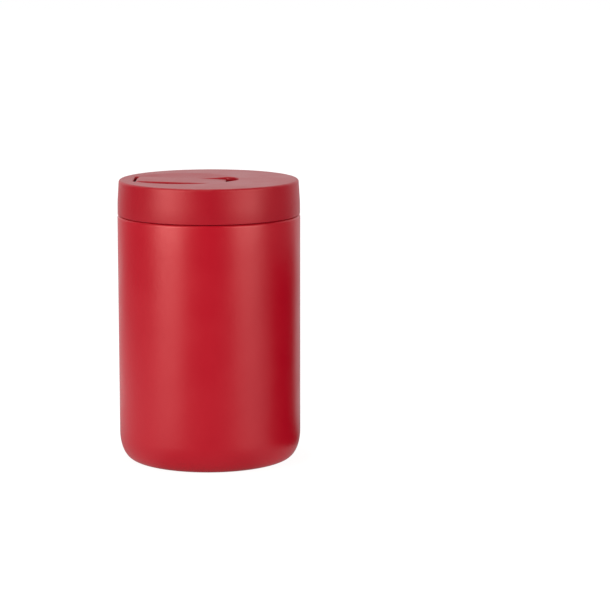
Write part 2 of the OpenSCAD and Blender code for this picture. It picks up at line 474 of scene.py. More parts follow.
class Effects:
    """Node groups that several finishes share."""

    def __init__(self) -> None:
        """Builds each group once."""
        self.grain = self.make_grain()
        self.tone = self.make_tone()
        self.rub = self.make_rub()

    @staticmethod
    def make_grain() -> bpy.types.NodeTree:
        """Fine pebbled height and a broad cloud, from noises on the piece's own coordinates.

        Returns:
            The group. Its height is the fine noise plus twice the wave.
        """
        inputs = {"Vector": VECTOR, "Fine": FLOAT, "Wave": FLOAT, "Broad": FLOAT}
        sheet, given, out = new_group("satin_grain", inputs, {"Height": FLOAT, "Cloud": FLOAT})
        fine = sheet.noise(given["Vector"], given["Fine"], detail=2.0)
        wave = sheet.noise(given["Vector"], given["Wave"], detail=1.0)
        cloud = sheet.noise(given["Vector"], given["Broad"], detail=3.0)
        sheet.feed(out, {"Height": sheet.math("ADD", fine, sheet.times(wave, 2.0)), "Cloud": cloud})
        return sheet.tree

    @staticmethod
    def make_tone() -> bpy.types.NodeTree:
        """A colour made a little darker or lighter by a cloud.

        Returns:
            The group. Its colour is scaled by one plus the spread times the cloud less a half.
        """
        inputs = {"Color": COLOR, "Cloud": FLOAT, "Spread": FLOAT}
        sheet, given, out = new_group("tone_drift", inputs, {"Color": COLOR})
        drift = sheet.times(sheet.math("SUBTRACT", given["Cloud"], 0.5), given["Spread"])
        scale = {0: given["Color"], "Scale": sheet.math("ADD", drift, 1.0)}
        sheet.feed(out, {"Color": sheet.add("VectorMath", scale, operation="SCALE")[0]})
        return sheet.tree

    @staticmethod
    def make_rub() -> bpy.types.NodeTree:
        """Mask of an edge that hands have rubbed, broken up by a noise.

        Returns:
            The group. Its mask is the noise's patches times the edge and the amount.
        """
        inputs = {"Vector": VECTOR, "Edge": FLOAT, "Scale": FLOAT, "Amount": FLOAT}
        sheet, given, out = new_group("rubbed_edge", inputs, {"Mask": FLOAT})
        patch = sheet.span(sheet.noise(given["Vector"], given["Scale"], detail=4.0), PATCH_RANGE)
        sheet.feed(out, {"Mask": sheet.times(sheet.times(patch, given["Edge"]), given["Amount"])})
        return sheet.tree


@dataclass(frozen=True)
class SatinFinish:
    """A satin colour with a fine grain, a slow drift of tone and faintly rubbed edges."""

    name: str
    color: tuple
    rubbed: tuple
    roughness: float
    specular: float = 0.5
    drift: float = 0.03
    fine: float = 2600.0
    wave: float = 420.0
    broad: float = 38.0
    spread: float = 0.07
    bump: float = 0.05
    bump_height: float = 0.0004
    rub: float = 0.3
    rub_scale: float = 160.0
    pearl: float = 0.1
    lined: bool = False
    lining: tuple = (0.74, 0.73, 0.71, 1.0)
    lining_dark: float = 0.82
    lining_roughness: float = 0.45
    lining_drift: float = 0.08
    lining_lines: tuple = (8.0, 8.0, 1500.0)
    lining_step: tuple = (0.45, 0.55)

    def material(self, effects: Effects) -> bpy.types.Material:
        """Builds the finish's material.

        Args:
            effects: The shared node groups.

        Returns:
            The material.
        """
        made = bpy.data.materials.new(self.name)
        sheet = Sheet.emptied(made)
        place = sheet.add("TexCoord")["Object"]
        grain = sheet.group(effects.grain, Vector=place, Fine=self.fine, Wave=self.wave, Broad=self.broad)
        cloud = grain["Cloud"]
        tone = sheet.group(effects.tone, Color=self.color, Cloud=cloud, Spread=self.spread)
        rub = sheet.group(effects.rub, Vector=place, Edge=sheet.value("edge"), Scale=self.rub_scale,
                          Amount=self.rub)
        bump = {"Strength": self.bump, "Distance": self.bump_height, "Height": grain["Height"]}
        looks = {
            "Base Color": sheet.mix(rub["Mask"], tone["Color"], self.rubbed),
            "Roughness": sheet.vary(cloud, self.roughness, self.drift),
            "Metallic": self.pearl,
            "Specular IOR Level": self.specular,
            "Normal": sheet.add("Bump", bump)["Normal"],
        }
        if self.lined:
            looks |= self.line_inside(sheet, place, looks)
        sheet.surface("Material", sheet.add("BsdfPrincipled", looks)[0])
        return made

    def line_inside(self, sheet: Sheet, place: Socket, looks: dict) -> dict:
        """Bare sheet metal where the piece's lining value is 1, with drawing lines round the wall.

        Args:
            sheet: The material's sheet.
            place: Object coordinates.
            looks: The shader's inputs for the paint.

        Returns:
            The inputs that change, mixed from the paint's and the metal's.
        """
        lining = sheet.value("lining")
        bare = sheet.span(lining, self.lining_step)
        drawn = sheet.stretched(place, self.lining_lines, detail=3.0)
        dark = tuple(self.lining_dark * share for share in self.lining[:3]) + (1.0,)
        rough = sheet.vary(drawn, self.lining_roughness, self.lining_drift)
        return {
            "Base Color": sheet.mix(bare, looks["Base Color"], sheet.mix(drawn, dark, self.lining)),
            "Roughness": sheet.blend(bare, looks["Roughness"], rough),
            "Metallic": sheet.span(lining, self.lining_step, (self.pearl, 1.0)),
        }


@dataclass(frozen=True)
class WireFinish:
    """Drawn steel wire, with fine lines along Y."""

    name: str
    color: tuple = (0.6, 0.6, 0.6, 1.0)
    roughness: float = 0.3
    drift: float = 0.08
    spread: float = 0.35
    lines: tuple = (6000.0, 90.0, 6000.0)
    bump: float = 0.1
    bump_height: float = 0.0002

    def material(self, effects: Effects) -> bpy.types.Material:
        """Builds the finish's material, whose lines are a noise stretched along the wire.

        Args:
            effects: The shared node groups.

        Returns:
            The material.
        """
        made = bpy.data.materials.new(self.name)
        sheet = Sheet.emptied(made)
        lines = sheet.stretched(sheet.add("TexCoord")["Object"], self.lines, detail=2.0)
        tone = sheet.group(effects.tone, Color=self.color, Cloud=lines, Spread=self.spread)
        bump = {"Strength": self.bump, "Distance": self.bump_height, "Height": lines}
        looks = {
            "Base Color": tone["Color"],
            "Roughness": sheet.vary(lines, self.roughness, self.drift),
            "Metallic": 1.0,
            "Normal": sheet.add("Bump", bump)["Normal"],
        }
        sheet.surface("Material", sheet.add("BsdfPrincipled", looks)[0])
        return made


PAINT = SatinFinish(
    "satin_red_paint", (0.46, 0.0008, 0.014, 1.0), (0.5, 0.03, 0.04, 1.0), 0.35, lined=True)
MOULDED = SatinFinish(
    "satin_red_plastic", (0.388, 0.0012, 0.013, 1.0), (0.42, 0.03, 0.04, 1.0), 0.41, 0.40,
    fine=3400.0, wave=900.0, bump=0.07)
MATTE = SatinFinish(
    "matte_red_plastic", (0.40, 0.006, 0.016, 1.0), (0.44, 0.03, 0.04, 1.0), 0.55,
    fine=3000.0, wave=900.0, bump=0.09)
SILICONE = SatinFinish(
    "white_silicone", (0.72, 0.71, 0.68, 1.0), (0.78, 0.77, 0.75, 1.0), 0.5,
    fine=1800.0, wave=600.0, spread=0.1, pearl=0.0)
WIRE = WireFinish("drawn_wire")


# Sub-assemblies


@dataclass
class Canister:
    """The drawn steel can: base panel, standing ring, deep corner, wall and rolled rim."""

    radius: float = 55.0
    height: float = 148.5
    sheet: float = 0.8
    corner_w: float = 8.0
    corner_h: float = 16.0
    foot_w: float = 5.0
    rise: float = 1.5
    step_w: float = 2.0
    step_bends: tuple = (1.2, 1.0)
    inner_bends: tuple = (1.8, 0.5)
    panel_gap: float = 1.5
    wall: tuple = (30.0, 130.0)
    rim: float = 1.6
    hem: float = 1.5
    hem_edge: float = 0.35
    rim_rub: float = 0.7
    foot_rub: tuple = (0.6, 0.8)

    def profile(self) -> tuple:
        """The sheet's section, from the middle of the base out, up, over the rim and back inside.

        Returns:
            The points of radius and height, the lining's share and the rubbed edge's share, which
            falls off as a bell curve from the rim's top and from the standing ring.
        """
        corner = (self.radius - self.corner_w, self.corner_h)
        roll = (self.radius - self.rim, self.height - self.rim)
        foot = corner[0] - self.foot_w
        step = foot - self.step_w
        mouth = roll[0] - self.rim
        hem_z = roll[1] - self.hem
        inner = self.rim - self.sheet
        floor = self.rise + self.sheet
        panel = line((0, self.rise), (step - self.panel_gap, self.rise), steps=6)
        outside = [
            panel,
            rounded([(0, self.rise), (step, self.rise), (foot, 0), (corner[0], 0)],
                    [0, *self.step_bends, 0], ends=False),
            arc(corner, (self.corner_w, self.corner_h), -90, 0, steps=28),
            line((self.radius, self.wall[0]), (self.radius, self.wall[1]), steps=10),
        ]
        rolled = [
            arc(roll, (self.rim, self.rim), 0, 180, steps=20),
            rounded([(mouth, roll[1]), (mouth, hem_z), (mouth + self.sheet, hem_z),
                     (mouth + self.sheet, roll[1])], [0, self.hem_edge, self.hem_edge, 0], steps=4),
        ]
        inside = [
            arc(roll, (inner, inner), 180, 0, steps=12),
            arc(corner, (self.corner_w - self.sheet, self.corner_h - self.sheet), 0, -90, steps=20),
            rounded([(corner[0], self.sheet), (foot, self.sheet), (step, floor), (0, floor)],
                    [0, *self.inner_bends, 0], ends=False),
            panel[::-1] + [0, self.sheet],
        ]
        points = np.concatenate(outside + rolled + inside)
        lining = np.repeat([0.0, 0.0, 1.0], [sum(map(len, run)) for run in (outside, rolled, inside)])
        edge = np.exp(-((points[:, 1] - self.height) / self.rim_rub) ** 2)
        at_foot, wide = self.foot_rub
        edge += np.exp(-((points[:, 1] - at_foot) / wide) ** 2) * (points[:, 0] > foot)
        return points, lining, np.clip(edge, 0, 1) * (lining < 0.5)

    def build(self, effects: Effects) -> None:
        """Builds and dresses the can.

        Args:
            effects: The shared node groups.
        """
        points, lining, edge = self.profile()
        can = revolve(points, False, {"edge": edge, "lining": lining}).piece("canister_shell")
        Part.CAN.dress(can, PAINT.material(effects))


@dataclass
class Lid:
    """The moulded lid: top plate with a slot and thumb dish, drafted skirt, collar and hinge ears."""

    top: float = 169.6
    seat: float = 148.8
    foot_r: float = 54.9
    foot_edges: tuple = (0.35, 0.3)
    top_r: float = 54.1
    edge_r: float = 1.5
    skirt_r: float = 52.3
    plate_t: float = 1.8
    break_z: float = 156.2
    break_in: float = 0.06
    break_r: float = 60.0
    slot_x0: float = -45.1672
    slot_w: float = 25.6
    slot_corner: float = 1.2
    slot_edge: float = 0.6
    finger_x: float = 3.36017
    finger_r: float = 14.6727
    finger_blend: float = 2.5
    dish_x: float = -15.6172
    dish_r: float = 32.0
    dish_depth: float = 1.85
    dish_ease: float = 0.05
    collar_t: float = 1.4
    collar_z: float = 164.8
    fillet: float = 0.8
    small_edge: float = 0.3
    pin_r: float = 1.25
    hinge_back: float = 4.9
    ear_in: float = 12.8
    ear_out: float = 15.2
    ear_r: float = 3.4
    ear_top: float = 1.4
    ear_corner: float = 0.35
    ear_hollow: float = 0.6
    rib_t: float = 1.1
    rib_drop: float = 9.0
    rib_under: float = 0.1
    rib_in: float = 0.2

    def dish(self, place: np.ndarray) -> np.ndarray:
        """Depth of the thumb dish: depth times one minus the squared radius, eased to 0 at its edge."""
        share = 1 - (((place[..., 0] - self.dish_x) ** 2 + place[..., 1] ** 2) / self.dish_r**2)
        return self.dish_depth * (share + np.sqrt(share**2 + self.dish_ease**2)) / 2

    def slot_outline(self) -> np.ndarray:
        """Closed outline of the slot: square at the hinge, and an arc at the finger hole.

        Returns:
            Points of X and Y, from the middle of the hinge end round by +Y.
        """
        half, corner, blend = self.slot_w / 2, self.slot_corner, self.finger_blend
        reach = self.finger_r - blend
        blend_x = self.finger_x + math.sqrt(reach**2 - (half - blend) ** 2)
        meet = math.degrees(math.asin((half - blend) / reach))
        upper = np.concatenate([
            line((self.slot_x0, 0), (self.slot_x0, half - corner), steps=9)[:-1],
            arc((self.slot_x0 + corner, half - corner), (corner, corner), 180, 90, steps=8),
            line((self.slot_x0 + corner, half), (blend_x, half), steps=60)[1:-1],
            arc((blend_x, half - blend), (blend, blend), 90, meet, steps=8),
            arc((self.finger_x, 0), (self.finger_r, self.finger_r), meet, 0, steps=26)[1:],
        ])
        return np.concatenate([upper, upper[-2:0:-1] * [1, -1]])

    def sections(self) -> tuple:
        """Sections of the top edge, the skirt and the slot's collar.

        Returns:
            Points of radius and height for the first two, and of distance from the slot and
            height for the collar.
        """
        plate_z, start_z = self.top - self.plate_t, self.top - self.edge_r
        edge = arc((self.top_r - self.edge_r, start_z), (self.edge_r, self.edge_r), 90, 0, steps=10)
        side = [(self.top_r, start_z), (self.foot_r - self.break_in, self.break_z),
                (self.foot_r, self.seat), (self.skirt_r, self.seat), (self.skirt_r, plate_z), (0, plate_z)]
        skirt = rounded(side, [0, self.break_r, *self.foot_edges, self.fillet, 0], ends=False)
        corners = [(self.collar_t, plate_z), (self.collar_t, self.collar_z),
                   (0, self.collar_z), (0, self.top)]
        collar = rounded(corners, [0, self.small_edge, self.small_edge, 0], steps=4, ends=False)
        return edge[:-1], np.concatenate([edge[-1:], skirt]), collar

    def shell(self) -> Surface:
        """The lid as one ring of sections, each from the slot over the top, down the skirt and back.

        A section leaves the slot's edge along its normal, and runs over the plate on the straight
        line to where a ray from the dish's middle meets the lid's edge. Heights on the plate are
        the flat top less the dish.

        Returns:
            The closed surface.
        """
        outline = self.slot_outline()
        middle = np.array([self.dish_x, 0.0])
        normal = outward_normals(outline, middle)
        ray = unit(outline - middle)
        inward = ray @ middle

        def rim(radius: float) -> np.ndarray:
            """Where the rays meet a circle about the axis."""
            return middle + ray * (np.sqrt(radius**2 - middle @ middle + inward**2) - inward)[:, None]

        def around(path: np.ndarray) -> np.ndarray:
            """Rows round the axis, from a path of radius and height."""
            return raised(unit(rim(self.top_r)) * path[:, None, :1], path[:, 1:])

        def beside(offset: np.ndarray) -> np.ndarray:
            """Places beside the slot, at offsets along its normal."""
            return outline + normal * offset[:, None, None]

        def across(first: np.ndarray, last: np.ndarray, steps: int) -> np.ndarray:
            """Places on the straight lines between two rings, without their ends."""
            share = np.linspace(0, 1, steps + 2)[1:-1, None, None]
            return first * (1 - share) + last * share

        def plate(places: np.ndarray, under: np.ndarray | float) -> np.ndarray:
            """Rows on the dished plate, or under it."""
            return raised(places, self.top - self.dish(places) - under)

        edge, skirt, collar = self.sections()
        lip_in, lip_down = edge_turn(self.slot_edge, steps=6)
        web_in, web_down = edge_turn(self.fillet, steps=6)
        lip, web = outline + normal * self.slot_edge, outline + normal * (self.collar_t + self.fillet)
        blocks = [
            plate(beside(lip_in[::-1]), lip_down[::-1, None]),
            plate(across(lip, rim(self.top_r - self.edge_r), steps=30), 0.0),
            around(edge),
            around(skirt),
            plate(across(rim(self.skirt_r - self.fillet), web, steps=14), self.plate_t),
            plate(beside(self.collar_t + web_in), self.plate_t + web_down[:, None]),
            raised(beside(collar[:, 0]), collar[:, 1:]),
        ]
        rows = np.concatenate(blocks)
        rubbed = np.repeat([1.0, 0.0, 1.0, 0.0, 0.0, 0.0, 0.0], [len(block) for block in blocks])
        return Surface.grid(rows, True, True, {"edge": np.broadcast_to(rubbed[:, None], rows.shape[:2])})

    def ear(self, low: float, high: float) -> Surface:
        """A hinge ear: a plate between the pin's hole and an outline round the pin.

        The outline runs along the flat top, over a shoulder that touches it and the round ear,
        down the ear, through a hollow fillet that touches the ear and the gusset's slope, down
        that slope to the rib and up inside the rib. The hole's points lie on the same rays.

        Args:
            low: Lower Y.
            high: Upper Y.

        Returns:
            The closed surface.
        """
        radius, corner, hollow, top = self.ear_r, self.ear_corner, self.ear_hollow, self.ear_top
        back = self.hinge_back - self.rib_t / 2
        shoulder = np.array([math.sqrt((radius - corner) ** 2 - (top - corner) ** 2), top - corner])
        down = unit(np.array([-self.hinge_back, radius - self.rib_drop]))
        out = np.array([-down[1], down[0]])
        depth = hollow - radius * out[1]
        centre = out * depth + down * math.sqrt((radius + hollow) ** 2 - depth**2)
        foot = np.array([0.0, -radius]) + down * (back / -down[0])
        sides = [math.degrees(math.atan2(y, x)) for x, y in (shoulder, centre, -out)]
        outline = np.concatenate([
            arc(shoulder, (corner, corner), 90, sides[0], steps=6),
            arc((0, 0), (radius, radius), sides[0], sides[1], steps=32)[1:],
            arc(centre, (hollow, hollow), sides[1] + 180, sides[2], steps=8)[1:],
            rounded([centre - out * hollow, foot, (-back, top), shoulder + [0, corner]],
                    [0, corner, corner, 0], ends=False)])
        return slab(HINGE + outline, HINGE + unit(outline) * self.pin_r, low, high, self.small_edge)

    def cradle(self) -> bpy.types.Object:
        """Both ears and the stop rib that joins them behind the knuckle, made one solid.

        Returns:
            The piece.
        """
        edge = self.small_edge
        back, low = HINGE - [self.hinge_back, self.rib_drop]
        high, half = HINGE[1] + self.ear_top - self.rib_under, self.ear_out - self.rib_in
        front = back + self.rib_t
        rib = rounded([(back, low), (front, low), (front, high), (back, high)], [edge] * 4, steps=4)
        cradle = slab(rib, rib.mean(0, keepdims=True), -half, half, edge).piece("hinge_cradle")
        for low_y, high_y in ((-self.ear_out, -self.ear_in), (self.ear_in, self.ear_out)):
            combine(cradle, self.ear(low_y, high_y).piece("ear"), Change.ADD)
        return cradle

    def build(self, effects: Effects) -> None:
        """Builds and dresses the lid's shell and its hinge cradle.

        Args:
            effects: The shared node groups.
        """
        finish = MOULDED.material(effects)
        Part.LID.dress(self.shell().piece("lid_shell"), finish)
        Part.LID.dress(self.cradle(), finish)


@dataclass
class Plug:
    """The tube under the lid that enters the mouth, with its seat flange and its seal ring."""

    outer: float = 50.8
    bore: float = 49.0
    groove: float = 49.9
    groove_gap: float = 0.05
    drop_z: float = 139.8
    lead_in: float = 0.9
    tip_edge: float = 0.5
    edge: float = 0.3
    small_edge: float = 0.2
    groove_edge: float = 0.15
    seat: float = 148.8
    flange_r: float = 52.25
    flange_t: float = 1.6
    top: float = 167.8
    seal_z: float = 146.15
    seal_h: float = 2.6
    seal_in: float = 49.95
    seal_out: float = 51.5
    bead_turn: float = 75.0

    def tube(self) -> Surface:
        """The plug's section turned about the axis, with a radius for each of its corners.

        Returns:
            The closed surface.
        """
        reach = self.seal_h / 2 + self.groove_gap
        low, high, flange = self.seal_z - reach, self.seal_z + reach, self.seat + self.flange_t
        edge, small, deep = self.edge, self.small_edge, self.groove_edge
        section = np.array([
            (self.bore, self.drop_z, self.tip_edge),
            (self.groove, self.drop_z, edge),
            (self.outer, self.drop_z + self.lead_in, edge),
            (self.outer, low, small),
            (self.groove, low, deep),
            (self.groove, high, deep),
            (self.outer, high, small),
            (self.outer, self.seat, edge),
            (self.flange_r, self.seat, small),
            (self.flange_r, flange, edge),
            (self.outer, flange, edge),
            (self.outer, self.top, small),
            (self.bore, self.top, small),
        ])
        return revolve(rounded(section[:, :2], section[:, 2], steps=4), True)

    def seal(self) -> Surface:
        """The seal ring: a flat back in the groove and two round beads that face the rim.

        Returns:
            The closed surface.
        """
        bead, edge, turn = self.seal_h / 4, self.small_edge, self.bead_turn
        low, high = self.seal_z - self.seal_h / 2, self.seal_z + self.seal_h / 2
        centre = self.seal_out - bead
        flat_back = [(centre, high), (self.seal_in, high), (self.seal_in, low), (centre, low)]
        profile = np.concatenate([
            rounded(flat_back, [0, edge, edge, 0], steps=4),
            arc((centre, self.seal_z - bead), (bead, bead), -90, turn, steps=12),
            arc((centre, self.seal_z + bead), (bead, bead), -turn, 90, steps=12)])
        return revolve(profile, True)

    def build(self, effects: Effects) -> None:
        """Builds and dresses the plug and the seal ring."""
        Part.PLUG.dress(self.tube().piece("plug_tube"), MATTE.material(effects))
        Part.SEAL.dress(self.seal().piece("seal_ring"), SILICONE.material(effects))


@dataclass
class HingeRod:
    """The wire pin that is pressed into the lid's ears."""

    radius: float = 1.25
    half: float = 15.0
    chamfer: float = 0.3
    edge: float = 0.1

    def build(self, effects: Effects) -> None:
        """Turns the rod's chamfered section about its own axis and dresses it.

        Args:
            effects: The shared node groups.
        """
        radius, end = self.radius, self.half
        flat, side = radius - self.chamfer, end - self.chamfer
        corners = [(0, -end), (flat, -end), (radius, -side), (radius, side), (flat, end), (0, end)]
        profile = rounded(corners, [0, *[self.edge] * 4, 0], steps=3)
        Part.PIN.dress(on_hinge(profile).piece("hinge_rod"), WIRE.material(effects))


# Points of a trough ring on its flat top, and as many on its flat underside
FLAT_POINTS = 2


@dataclass
class PourSpout:
    """The trough that swings up on the pin: knuckle, floor, two quarter-round walls and lip."""

    sink: float = 1.8
    reach: float = 51.5
    width: float = 24.0
    floor_t: float = 1.5
    side_t: float = 1.5
    knuckle_r: float = 3.1
    knuckle_turn: float = 135.0
    top_share: float = 0.5
    under_share: float = 0.6
    knuckle_stations: int = 32
    hole_r: float = 1.3
    arc_r: float = 51.4
    arc_x: float = -3.6
    arc_z: float = 1.2
    fillet_x: float = 50.9282
    fillet_r: float = 3.2
    web_x: float = 6.5
    web_r: float = 1.0
    web_fade: int = 4
    edge: float = 0.5
    edge_steps: int = 5
    end_rings: int = 5
    top_edge: float = 1.0
    tip_edge: float = 0.45
    tip_corner: float = 1.2
    lug_x: float = 36.8
    lug_z: float = -2.0
    lug_l: float = 6.0
    lug_t: float = 2.0
    lug_in: float = 11.25
    lug_out: float = 13.6
    lug_turn: float = 87.2
    lug_bend: float = 0.4
    lug_edge: float = 0.35

    def knuckle_paths(self) -> tuple:
        """Side views of the top, the underside and the walls' lower edge, beside the knuckle.

        The top goes a quarter turn over the knuckle and straight on. The underside goes round
        under it, and leaves it on a cubic curve whose ends touch the knuckle and the floor.

        Returns:
            Three arrays of X and Z from the pin, with one row for each station.
        """
        radius, floor = self.knuckle_r, self.knuckle_r - self.floor_t
        share = np.arange(self.knuckle_stations) / self.knuckle_stations
        over = np.radians(np.interp(share, (0, self.top_share), (180, 90)))
        top = radius * np.stack([np.cos(over), np.sin(over)], 1)
        top[:, 0] += np.interp(share, (self.top_share, 1), (0, self.web_x))
        end = math.radians(180 + self.knuckle_turn)
        below = np.interp(share, (0, self.under_share), (math.pi, end))
        leave, heading = (np.array([math.cos(turn), math.sin(turn)]) for turn in (end, end + math.pi / 2))
        join, level = np.array([self.web_x, floor]), np.array([1.0, 0.0])
        pull = np.linalg.norm(join - radius * leave)
        past = np.interp(share, (self.under_share, 1), (0, 1))[:, None]
        square, cube = past**2, past**3
        curve = (2 * cube - 3 * square + 1) * radius * leave + (cube - 2 * square + past) * pull * heading
        curve += (3 * square - 2 * cube) * join + (cube - square) * pull * level
        under = np.where(past > 0, curve, radius * np.stack([np.cos(below), np.sin(below)], 1))
        low_x = line((self.edge - radius,), (self.web_x,), len(share))[:-1, 0]
        low_z = self.arc_z - np.sqrt(self.arc_r**2 - (low_x - self.arc_x) ** 2)
        return top, under, np.stack([low_x, low_z], 1)

    def paths(self) -> tuple:
        """The knuckle's side views carried on to the tip.

        The top and the underside run along the floor. The lower edge is the walls' arc, then the
        fillet up to the lip. All three advance together from the hinge to the tip.

        Returns:
            Three arrays of X and Z from the pin, with one row for each station.
        """
        floor = self.knuckle_r - self.floor_t
        centre = (self.fillet_x, floor - self.fillet_r)
        meet = math.degrees(math.atan2(centre[1] - self.arc_z, centre[0] - self.arc_x))
        begin = -math.degrees(math.acos((self.web_x - self.arc_x) / self.arc_r))
        lower = np.concatenate([
            arc((self.arc_x, self.arc_z), (self.arc_r, self.arc_r), begin, meet, steps=96)[:-1],
            arc(centre, (self.fillet_r, self.fillet_r), 180 + meet, 90, steps=16),
            line((self.fillet_x, floor), (self.reach - self.tip_edge, floor), steps=2)[1:]])
        station = lower[:, 0] + self.edge * left_normals(lower)[:, 0]
        flats = (np.stack([station, np.full(len(lower), z)], 1) for z in (self.knuckle_r, floor))
        return tuple(np.concatenate(pair) for pair in zip(self.knuckle_paths(), (*flats, lower)))

    def trough(self) -> Surface:
        """The trough as one ring of points at each station, closed at the hinge end and the tip.

        A ring goes along the top, round a rounded edge, down the outer face, round the wall's
        lower edge, up the inner face, through a fillet and along the underside. At each edge the
        points leave the path by its radius times one minus the sine, and the face by its radius
        times one minus the cosine. The tip's corners draw in on a quarter circle.

        Returns:
            The closed surface, in the part's frame.
        """
        top, under, low = self.paths()
        up, down, out = left_normals(top), -left_normals(under), -left_normals(low)
        up[0], down[0], out[0] = (-1, 0), (-1, 0), (0, -1)
        half, inner, edge = self.width / 2, self.width / 2 - self.side_t, self.edge
        share = np.clip(np.linalg.norm(under - low, axis=1) / (edge + self.web_r), 0, 1)
        web = self.web_r * share * np.clip(-down[:, 1], 0, 1) ** self.web_fade
        full = edge + (self.top_edge - edge) * np.clip(up[:, 1], 0, 1)
        inset, drop = edge_turn(1.0, self.edge_steps)
        rows = []
        for radius, path, normal, side, sign, step in (
                (full, top, -up, half, -1, 1), (edge + 0 * full, low, -out, half, -1, -1),
                (edge * share, low, -out, inner, 1, 1), (web, under, down, inner, -1, -1)):
            place = path[:, None] + normal[:, None] * (radius[:, None] * drop[::step])[..., None]
            rows.append(raised(place, side + sign * radius[:, None] * inset[::step])[..., [0, 2, 1]])
        flats = ((top, 0.0), (top, inner), (under, 0.0))
        middle, beside, below = (np.insert(path, 1, y, axis=1)[:, None] for path, y in flats)
        right = np.concatenate([middle, beside, *rows, rows[-1][:, -1:], below], 1)
        right = np.concatenate([self.back_rings(right[0]), right, self.tip_rings(right[-1])])
        past = np.clip((right[..., 0] - self.reach + self.tip_corner) / self.tip_corner, 0, 1)
        right[..., 1] -= self.tip_corner * (1 - np.sqrt(1 - past**2)) * right[..., 1] / half
        points = np.concatenate([right, right[:, -2:0:-1] * [1, -1, 1]], 1)
        rubbed = np.zeros(right.shape[1])
        rubbed[FLAT_POINTS:FLAT_POINTS + len(inset)] = 1
        values = np.broadcast_to(np.concatenate([rubbed, rubbed[-2:0:-1]]), points.shape[:2])
        return Surface.grid(self.placed(points), False, True, {"edge": values})

    def end_turns(self) -> np.ndarray:
        """Angles of the rings that round an end, in even shares of a right angle."""
        return math.pi / 2 * np.linspace(0, 1, self.end_rings + 1)[1:, None]

    def back_rings(self, ring: np.ndarray) -> np.ndarray:
        """Rings that round the walls' back edge, and one that closes it in the walls' middle.

        A ring stands in from the back by the edge radius times one minus the sine, and in from
        the wall's faces by the radius times one minus the cosine.

        Args:
            ring: The first station's right half.

        Returns:
            The rings, with the closing one first.
        """
        turn = self.end_turns()[::-1]
        half, edge, count = self.width / 2, self.edge, self.edge_steps + 1
        inner = half - self.side_t
        rings = np.repeat(ring[None], len(turn), 0)
        # One edge at the top, two at the wall's lower side and the fillet
        stops = FLAT_POINTS + count * np.array([0, 1, 3, 4])
        top, low, web = (slice(*pair) for pair in zip(stops[:-1], stops[1:]))
        angle = np.maximum(np.radians(np.linspace(90, 0, count))[None], turn)
        rings[:, top, 0] = edge * (1 - np.sin(angle)) - self.knuckle_r
        rings[:, top, 1] = half - edge * (1 - np.cos(angle))
        rings[:, low, 0] = edge * (1 - np.sin(turn)) - self.knuckle_r
        inset = edge * (1 - np.cos(turn))
        rings[:, low, 1] = np.clip(rings[:, low, 1], inner + inset, half - inset)
        rings[:, web, 1] = half - edge
        closing = rings[:1].copy()
        closing[:, top.start:web.stop, 1] = half - edge
        return np.concatenate([closing, rings])

    def tip_rings(self, ring: np.ndarray) -> np.ndarray:
        """Rings that round the lip's tip, and one that closes it in the lip's middle.

        A ring stands in from the tip by the edge radius times one minus the sine, and is thinned
        towards the lip's middle by the radius times one minus the cosine.

        Args:
            ring: The last station's right half.

        Returns:
            The rings, with the closing one last.
        """
        turn = self.end_turns()
        middle = self.knuckle_r - self.top_edge
        rings = np.repeat(ring[None], len(turn), 0)
        rings[..., 0] = self.reach - self.tip_edge * (1 - np.sin(turn))
        thin = 1 - self.tip_edge * (1 - np.cos(turn)) / (self.floor_t / 2)
        rings[..., 2] = middle + (rings[..., 2] - middle) * thin
        closing = rings[-1:].copy()
        closing[..., 2] = middle
        closing[:, FLAT_POINTS:-FLAT_POINTS, 1] = self.width / 2
        return np.concatenate([rings, closing])

    def placed(self, points: np.ndarray) -> np.ndarray:
        """Points from the pin, turned by the sink angle about Y and moved to the pin's place."""
        return turned(points, self.sink) + [HINGE[0], 0.0, HINGE[1]]

    def lugs(self) -> Surface:
        """The two lugs that meet the lid's collar when the spout is open.

        Each is a rounded box in X and Z, turned about the pin by the lugs' angle and carried
        across Y beside its wall.

        Returns:
            Both closed surfaces as one.
        """
        low, high, start, stop = self.lug_z - self.lug_t, self.lug_z, self.lug_x, self.lug_x + self.lug_l
        corners = [(start, low), (stop, low), (stop, high), (start, high)]
        box = rounded(corners, [self.lug_bend] * 4, steps=4)
        box = turned(np.insert(box, 1, 0.0, 1), self.lug_turn)[:, [0, 2]]
        middle = box.mean(0, keepdims=True)
        pair = [slab(box, middle, *sides, self.lug_edge)
                for sides in ((self.lug_in, self.lug_out), (-self.lug_out, -self.lug_in))]
        points = self.placed(np.concatenate([lug.points for lug in pair]))
        return Surface(points, np.concatenate([pair[0].quads, pair[1].quads + len(pair[0].points)]))

    def build(self, effects: Effects) -> None:
        """Builds and dresses the trough, with the pin's hole cut through its knuckle, and its lugs.

        Args:
            effects: The shared node groups.
        """
        finish = MOULDED.material(effects)
        trough = self.trough().piece("pour_trough")
        hole = on_hinge(np.array([(0, -1), (1, -1), (1, 1), (0, 1)]) * (self.hole_r, self.width))
        combine(trough, hole.piece("pin_hole"), Change.CUT)
        Part.SPOUT.dress(trough, finish)
        Part.SPOUT.dress(self.lugs().piece("stop_lugs"), finish)


# Stage


